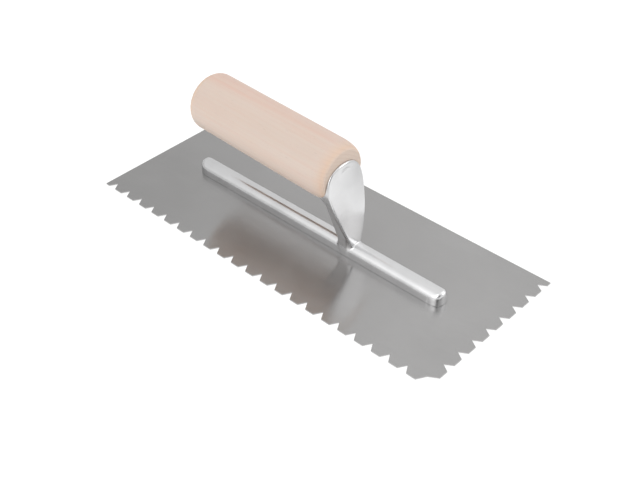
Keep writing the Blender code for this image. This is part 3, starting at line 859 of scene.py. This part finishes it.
def mounting_field(x, y, z):
    bar = BAR_SECTION(np.abs(y), z)
    end = np.maximum(BAR_X0 + BAR_CAP_R - x, x - (BAR_X1 - BAR_CAP_R))
    cap = np.where(end > 0, np.hypot(end, y), np.abs(y) + end) - BAR_CAP_R
    bar = round_max(bar, cap, BAR_CAP_EDGE)

    neck = smooth_min(tongue_field(x, y, z), web_field(x, y, z), WEB_FILLET)
    s, r = along_axis(x, y, z)
    soft = SEAT_SOFT + SEAT_SOFTER * np.clip((SEAT_SOFTER_X - x) / SEAT_SOFTER_RUN, 0, 1)
    neck = smooth_max(neck, -(handle_field(s, r) - HANDLE_GAP), soft)
    boss_ends = np.maximum(s - BOSS_L, BOSS_START - s)
    neck = np.minimum(neck, round_max(r - (BOSS_R - BOSS_CLEARANCE), boss_ends, BOSS_EDGE))
    hole_ends = np.maximum(s - (BOSS_L + STUD_HOLE_BEYOND), (STUD_FROM - STUD_HOLE_BEFORE) - s)
    hole = round_max(r - (STUD_R + STUD_HOLE_CLEARANCE), hole_ends, STUD_HOLE_SOFT)
    neck = smooth_max(neck, -hole, STUD_HOLE_SOFT)

    casting = smooth_min(bar, neck, FOOT_FILLET)
    casting = smooth_max(casting, (BLADE_T + BASE_GAP) - z, BASE_SOFT)
    for rivet_x in RIVET_X:
        side = np.hypot(x - rivet_x, y) - (RIVET_SHANK_R + SHANK_CLEARANCE)
        shank = np.maximum(side, z - (RIVET_TOP + SHANK_HEADROOM))
        casting = smooth_max(casting, -shank, SHANK_SOFT)
    return casting


# ---- surface of a field ----------------------------------------------------------------------------
NECK_SAMPLED_X = (2.0, 48.0)  # above the bar, only this stretch is sampled


def sample_field(field, axes):
    level = np.full([len(a) for a in axes], 1.0, np.float32)

    def fill(first, last, slab, heights):
        # in slabs, to keep memory small
        for start in range(first, last, slab):
            part = slice(start, min(last, start + slab))
            planes = (axes[0][part], axes[1], axes[2][heights])
            level[part, :, heights] = field(*np.meshgrid(*planes, indexing="ij"))

    above_bar = int(np.searchsorted(axes[2], BAR_TOP + 3.0))
    neck_first, neck_last = (int(np.searchsorted(axes[0], x)) for x in NECK_SAMPLED_X)
    fill(0, len(axes[0]), 40, slice(0, above_bar))
    fill(neck_first, neck_last, 16, slice(above_bar, None))
    return level


def fill_saddles(level, inside):
    """A cell's face with only two opposite corners inside would give an edge four quads:
    one more of its corners is put inside."""
    halves = (slice(0, -1), slice(1, None))
    for _ in range(8):
        filled = 0
        for u, v in ((0, 1), (0, 2), (1, 2)):
            part = {}
            for du, dv in np.ndindex(2, 2):
                cut = [slice(None)] * 3
                cut[u], cut[v] = halves[du], halves[dv]
                part[du, dv] = inside[tuple(cut)]
            saddle = (part[0, 0] == part[1, 1]) & (part[0, 1] == part[1, 0])
            saddle &= part[0, 0] != part[0, 1]
            for cell in np.argwhere(saddle):
                outside = []
                for du, dv in np.ndindex(2, 2):
                    corner = cell.copy()
                    corner[u] += du
                    corner[v] += dv
                    if not inside[tuple(corner)]:
                        outside.append(tuple(corner))
                if len(outside) == 2:
                    spot = min(outside, key=lambda k: level[k])
                    level[spot] = -0.001
                    inside[spot] = True
                    filled += 1
        if not filled:
            break


def net_points(level, cells, axes):
    """One point per cell: the mean of the places where the level crosses the cell's edges."""
    total = np.zeros((len(cells), 3))
    hits = np.zeros(len(cells))
    for corner in np.ndindex(2, 2, 2):
        for axis in range(3):
            if corner[axis]:
                continue
            ahead = np.array(corner)
            ahead[axis] = 1
            start, end = cells + np.array(corner), cells + ahead
            at_start, at_end = level[tuple(start.T)], level[tuple(end.T)]
            cross = (at_start < 0) != (at_end < 0)
            t = np.where(cross, at_start / np.where(cross, at_start - at_end, 1), 0)
            total += np.where(cross[:, None], start + (end - start) * t[:, None], 0)
            hits += cross
    at = total / hits[:, None]
    return np.stack([np.interp(at[:, i], np.arange(len(a)), a) for i, a in enumerate(axes)], 1)


def net_quads(inside, index):
    """A quad round every grid edge that crosses the surface; index numbers the cells."""
    size = inside.shape
    quads = []
    for axis in range(3):
        u, v = (axis + 1) % 3, (axis + 2) % 3
        near, far = [slice(None)] * 3, [slice(None)] * 3
        near[axis], far[axis] = slice(0, -1), slice(1, None)
        near_inside, far_inside = inside[tuple(near)], inside[tuple(far)]
        e = np.argwhere(near_inside != far_inside)
        e = e[(e[:, u] > 0) & (e[:, v] > 0) & (e[:, u] < size[u] - 1) & (e[:, v] < size[v] - 1)]
        starts_inside = near_inside[tuple(e.T)]
        corners = []
        for du, dv in ((-1, -1), (0, -1), (0, 0), (-1, 0)):
            cell = e.copy()
            cell[:, u] += du
            cell[:, v] += dv
            corners.append(index[tuple(cell.T)])
        corners = np.stack(corners, 1)
        corners[~starts_inside] = corners[~starts_inside][:, ::-1]
        quads.append(corners)
    return np.concatenate(quads)


def surface_net(field, axes):
    """Points and quads on the zero level of a field sampled on a grid of planes."""
    level = sample_field(field, axes)
    inside = level < 0
    fill_saddles(level, inside)
    cell_shape = tuple(size - 1 for size in level.shape)
    count = np.zeros(cell_shape, np.int8)
    for corner in np.ndindex(2, 2, 2):
        count += inside[tuple(slice(c, c + size) for c, size in zip(corner, cell_shape))]
    active = (count > 0) & (count < 8)
    cells = np.argwhere(active)
    index = np.full(cell_shape, -1, np.int64)
    index[active] = np.arange(len(cells))
    return net_points(level, cells, axes), net_quads(inside, index)


def field_gradient(field, points, reach):
    gradient = np.zeros_like(points)
    for axis in range(3):
        offset = np.zeros(3)
        offset[axis] = reach
        ahead, behind = points + offset, points - offset
        gradient[:, axis] = (field(*ahead.T) - field(*behind.T)) / (2 * reach)
    return gradient


def settle(field, points, longest):
    """Moves the points onto the field's zero level, in four short moves."""
    for _ in range(4):
        gradient = field_gradient(field, points, reach=0.05)
        steepness = np.maximum((gradient * gradient).sum(1), 0.2)
        move = gradient * (field(*points.T) / steepness)[:, None]
        length = np.linalg.norm(move, axis=1)
        move *= np.minimum(1, longest / np.maximum(length, 1e-9))[:, None]
        points = points - move
    return points


def build_mounting():
    step = 0.34
    # the planes across the bar lie closest round the neck and at the bar's ends
    stops = [BAR_X0 - 1.03, BAR_X0 + 9.0, 4.0, 44.0, BAR_X1 - 9.0, BAR_X1 + 1.0]
    spacings = [step, 2 * step, step, 2 * step, step]
    stretches = [
        np.linspace(a, b, int(math.ceil((b - a) / spacing)) + 1)[:-1]
        for a, b, spacing in zip(stops[:-1], stops[1:], spacings)
    ]
    xs = np.concatenate(stretches + [stops[-1:]])
    reach = 17.2
    # a slight offset keeps the planes off the centreline
    ys = np.linspace(-reach, reach, int(math.ceil(2 * reach / step)) + 1) + 0.003
    zs = np.arange(BLADE_T - 1.17, NECK_TOP + 2.0, step)
    points, quads = surface_net(mounting_field, [xs, ys, zs])
    points = settle(mounting_field, points, longest=0.25 * step)
    return make_mesh("mounting_casting", points, quads.tolist(), CAST, smooth_angle=50)


place(build_mounting(), "mounting")

# ---- handle: turned, bored through for the stud, with a counterbore at the rear (-X) end -----------
across = np.array([0.0, 1.0, 0.0])
upward = np.cross(across, AXIS)
# own X up, Y along world Y, Z along the axis from the front face
HANDLE_MATRIX = Matrix(
    (
        (upward[0], across[0], AXIS[0], AXIS_X * MM),
        (upward[1], across[1], AXIS[1], 0.0),
        (upward[2], across[2], AXIS[2], AXIS_Z * MM),
        (0, 0, 0, 1),
    )
)
COUNTERBORE_FLOOR = HANDLE_L - COUNTERBORE_DEPTH
COUNTERBORE_LIP = 0.8  # width of the rim's break round the counterbore
BOSS_SOCKET_R, BOSS_SOCKET_END = BOSS_R + 0.1, BOSS_L + 0.2


def end_round(angle, radial, axial):
    """(radius, distance in from the end) on a quarter ellipse; angle 0 is on the cylinder."""
    return HANDLE_R - radial * (1 - math.cos(angle)), axial * (1 - math.sin(angle))


def handle_profile():
    """(radius, distance along the axis): the outside from rear to front, then back up the bores."""
    cut = COUNTERBORE_R + COUNTERBORE_LIP
    cosine = 1 - (HANDLE_R - cut) / REAR_ROUND_R
    rim_at = HANDLE_L - REAR_ROUND_L * (1 - math.sqrt(max(0.0, 1 - cosine * cosine)))
    outer = [(cut, rim_at)]
    for i in range(25):
        r, inset_from_end = end_round(math.pi / 2 * (1 - i / 24), REAR_ROUND_R, REAR_ROUND_L)
        if r > cut + 0.2:
            outer.append((r, HANDLE_L - inset_from_end))
    straight = HANDLE_L - REAR_ROUND_L - FRONT_ROUND_L
    outer += [(HANDLE_R, HANDLE_L - REAR_ROUND_L - straight * i / 40) for i in range(1, 40)]
    outer += [end_round(math.pi / 2 * i / 20, FRONT_ROUND_R, FRONT_ROUND_L) for i in range(21)]
    inner = [
        (BOSS_R + 0.5, 0.0),
        (BOSS_SOCKET_R, 0.4),
        (BOSS_SOCKET_R, BOSS_SOCKET_END),
        (BORE_R, BOSS_SOCKET_END),
        (BORE_R, COUNTERBORE_FLOOR),
        (COUNTERBORE_R - 0.25, COUNTERBORE_FLOOR),
        (COUNTERBORE_R, COUNTERBORE_FLOOR + 0.25),
        (COUNTERBORE_R, rim_at - 0.75),
        (COUNTERBORE_R + 0.12, rim_at - 0.35),
        (COUNTERBORE_R + 0.4, rim_at - 0.1),
    ]
    return outer + inner


def build_handle():
    rings = turn(handle_profile(), 144)
    return ring_surface("turned_handle", rings, WOOD, True, 40, HANDLE_MATRIX)


place(build_handle(), "handle")

# ---- stud, washer and nut --------------------------------------------------------------------------
THREAD_PITCH, THREAD_DEPTH = 1.0, 0.55
THREAD_RINGS = 10  # rings per pitch
THREAD_CREST, THREAD_FLANK = 0.12, 0.76  # shares of half a pitch
FRONT_THREAD_END, REAR_THREAD_START = 16.0, 85.0
STUD_POINT = 0.8  # bevel on both ends
STUD_WAIST_R = STUD_R - 0.3

STACK_GAP = 0.06
WASHER_R, WASHER_T = 7.4, 1.5
WASHER_BORE_R = STUD_R + 0.25
WASHER_AT = COUNTERBORE_FLOOR + STACK_GAP

NUT_FLATS, NUT_T = 10.0, 5.0
NUT_AT = WASHER_AT + WASHER_T + STACK_GAP
NUT_BORE_R = STUD_R + 0.5  # at the mouths; the thread lies inside it
NUT_THREAD_CLEARANCE = 0.07


def thread_radius(angles, s):
    """Radius of the trapezoid thread at each angle, at distance s."""
    phase = (s / THREAD_PITCH - angles / (2 * math.pi)) % 1.0
    saw = np.abs(phase - 0.5) * 2
    return STUD_R - THREAD_DEPTH * np.clip((saw - THREAD_CREST) / THREAD_FLANK, 0, 1)


def build_stud():
    angles = full_turn(40)

    def threaded(start, end):
        count = int((end - start) / THREAD_PITCH * THREAD_RINGS)
        rings = []
        for i in range(count + 1):
            s = start + (end - start) * i / count
            limit = min(STUD_R, STUD_R - STUD_POINT + min(s - STUD_FROM, STUD_TO - s))
            rings.append(ring(np.minimum(thread_radius(angles, s), limit), s, angles))
        return rings

    rings = threaded(STUD_FROM, FRONT_THREAD_END)
    waist = np.linspace(FRONT_THREAD_END + 0.6, REAR_THREAD_START - 0.6, 12)
    rings += [ring(STUD_WAIST_R, s, angles) for s in waist]
    rings += threaded(REAR_THREAD_START, STUD_TO)
    return ring_surface("threaded_stud", rings, PLATED, False, 50, HANDLE_MATRIX)


def build_washer():
    section = [
        (WASHER_R, WASHER_AT + WASHER_T),
        (WASHER_R, WASHER_AT),
        (WASHER_BORE_R, WASHER_AT),
        (WASHER_BORE_R, WASHER_AT + WASHER_T),
    ]
    edge_radii = [0.35, 0.12, 0.1, 0.2]
    rings = turn(round_corners(section, edge_radii), 96)
    return ring_surface("flat_washer", rings, PLATED, True, 30, HANDLE_MATRIX)


def build_nut():
    angles = full_turn(120)
    from_flat = (angles + math.pi / 6) % (math.pi / 3) - math.pi / 6
    corner = NUT_FLATS / math.sqrt(3) - 0.08
    hexagon = np.minimum(NUT_FLATS / 2 / np.cos(from_flat), corner)
    start, end = NUT_AT, NUT_AT + NUT_T

    # outside, from the rear face forwards, with the corners turned off by a shallow cone
    cone_r, cone_slope = NUT_FLATS / 2 - 0.1, math.tan(math.radians(62))
    face_r = cone_r - 0.6
    depths = np.concatenate(
        [
            np.linspace(0, 0.6, 9),
            np.linspace(0.9, NUT_T - 0.9, 8),
            np.linspace(NUT_T - 0.6, NUT_T, 9),
        ]
    )
    rings = [ring(NUT_BORE_R, end, angles), ring(face_r, end, angles)]
    for depth in depths:
        near = min(depth, NUT_T - depth)
        rings.append(ring(np.minimum(hexagon, cone_r + near * cone_slope), end - depth, angles))
    rings += [ring(face_r, start, angles), ring(NUT_BORE_R, start, angles)]

    # inside: lead-in chamfer, then the thread with a little clearance on the stud
    count = int(NUT_T / THREAD_PITCH * THREAD_RINGS)
    for i in range(1, count):
        s = start + NUT_T * i / count
        radius = thread_radius(angles, s) + NUT_THREAD_CLEARANCE
        lead_in = NUT_BORE_R - min(s - start, end - s)
        rings.append(ring(np.maximum(radius, lead_in), s, angles))
    return ring_surface("hex_nut", rings, PLATED, True, 40, HANDLE_MATRIX)


place(build_stud(), "handle_stud")
place(build_washer(), "washer")
place(build_nut(), "nut")

# ---- stage: pale floor, soft studio light, camera --------------------------------------------------
FLOOR_HALF, FLOOR_Z = 6.0, -0.0004  # metres
FLOOR_GLOW, FLOOR_MATT = 0.80, 0.35  # seen by the camera: own light, and share of matt white
# light the floor gives to everything else: its level, and how it changes over ranges of Y (metres)
BOUNCE, BOUNCE_FAR = 1.29, 0.84
BOUNCE_FAR_Y = (0.055, 0.135)
BOUNCE_NEAR, BOUNCE_NEAR_Y = 0.77, (-0.20, -0.06)  # a factor that rises to 1


def build_floor():
    data = bpy.data.meshes.new("floor")
    signs = ((-1, -1), (1, -1), (1, 1), (-1, 1))
    corners = [(a * FLOOR_HALF, b * FLOOR_HALF, FLOOR_Z) for a, b in signs]
    data.from_pydata(corners, [], [(0, 1, 2, 3)])
    obj = bpy.data.objects.new("floor", data)
    scene.collection.objects.link(obj)
    mat = Material("pale_floor")
    mat.tree.nodes.clear()

    matt = mat.node("ShaderNodeBsdfDiffuse", {"Color": (0.8, 0.8, 0.8)}).outputs[0]
    weak_matt = mat.choose(FLOOR_MATT, mat.emission(0.0), matt)
    seen = mat.node("ShaderNodeAddShader", {0: mat.emission(FLOOR_GLOW), 1: weak_matt})

    y = mat.xyz(mat.place())["Y"]
    far = mat.span(y, over=BOUNCE_FAR_Y, to=(BOUNCE, BOUNCE_FAR), smooth=True)
    near = mat.span(y, over=BOUNCE_NEAR_Y, to=(BOUNCE_NEAR, 1.0), smooth=True)
    bounce = mat.emission(mat.times(far, near))
    is_camera = mat.node("ShaderNodeLightPath").outputs["Is Camera Ray"]
    upper = mat.choose(is_camera, bounce, seen.outputs[0])

    # clear from below
    clear = mat.node("ShaderNodeBsdfTransparent").outputs[0]
    from_below = mat.node("ShaderNodeNewGeometry").outputs["Backfacing"]
    mat.node("ShaderNodeOutputMaterial", {"Surface": mat.choose(from_below, upper, clear)})
    data.materials.append(mat.material)


# even light, a little brighter overhead: range of direction Z, and levels
SKY_RISE, SKY_LEVELS = (0.50, 0.72), (0.90, 0.97)
# dimmer towards -X: range of direction X, and factors
SKY_SIDE, SKY_SIDE_FACTORS = (-0.88, -0.42), (0.68, 1.05)
SKY_LEAST = 0.02
# soft round panels: (direction, inner and outer half angle in degrees, gain)
SKY_PANELS = [
    ((-0.05, -0.80, 0.50), 5, 42, 0.52),
    ((-0.02, -0.84, 0.45), 4, 26, 1.5),
    ((-0.55, -0.83, -0.02), 4, 22, -0.24),
    ((0.30, -0.05, 0.95), 4, 17, 0.25),
    ((0.74, 0.53, 0.46), 6, 20, 1.75),
    ((0.78, 0.62, 0.08), 8, 22, -0.45),
    ((0.24, 0.59, 0.77), 8, 26, 0.6),
    ((0.46, -0.75, 0.47), 11, 28, -0.9),
]


def build_world():
    world = bpy.data.worlds.new("studio")
    scene.world = world
    world.use_nodes = True
    sky = Graph(world.node_tree)
    sky.tree.nodes.clear()
    ray = sky.xyz(sky.node("ShaderNodeTexCoord").outputs["Generated"])
    light = sky.span(ray["Z"], over=SKY_RISE, to=SKY_LEVELS, smooth=True)
    side = sky.span(ray["X"], over=SKY_SIDE, to=SKY_SIDE_FACTORS, smooth=True)
    light = sky.times(light, side)
    for direction, inner, outer, gain in SKY_PANELS:
        aim = Vector(direction).normalized()
        flat = sky.plus(sky.times(ray["X"], aim.x), sky.times(ray["Y"], aim.y))
        cosine = sky.plus(flat, sky.times(ray["Z"], aim.z))
        cosines = (math.cos(math.radians(outer)), math.cos(math.radians(inner)))
        light = sky.plus(light, sky.span(cosine, over=cosines, to=(0.0, gain), smooth=True))
    light = sky.calc("MAXIMUM", light, SKY_LEAST)

    # the camera sees plain white
    white = 1.0
    seen = sky.times(sky.node("ShaderNodeLightPath").outputs["Is Camera Ray"], 1.0)
    strength = sky.plus(sky.times(light, sky.invert(seen)), sky.times(seen, white))
    inputs = {"Color": (1.0, 1.0, 1.0), "Strength": strength}
    background = sky.node("ShaderNodeBackground", inputs).outputs[0]
    sky.node("ShaderNodeOutputWorld", {"Surface": background})


# columns: the camera's right, up and backward directions, and its place in metres
CAMERA_MATRIX = Matrix(
    (
        (0.72505, -0.418717, 0.546789, 0.376999),
        (0.688348, 0.46585, -0.556023, -0.378119),
        (-0.021905, 0.779525, 0.625987, 0.420908),
        (0.0, 0.0, 0.0, 1.0),
    )
)


def build_camera():
    camera = bpy.data.cameras.new("camera")
    camera.sensor_width = 36.0
    camera.lens = 60.2412
    camera.clip_start = 0.01
    obj = bpy.data.objects.new("camera", camera)
    scene.collection.objects.link(obj)
    obj.matrix_world = CAMERA_MATRIX
    scene.camera = obj


build_floor()
build_world()
build_camera()
scene.view_settings.view_transform = "Standard"

# ---- update the view layer, and done ---------------------------------------------------------------
bpy.context.view_layer.update()
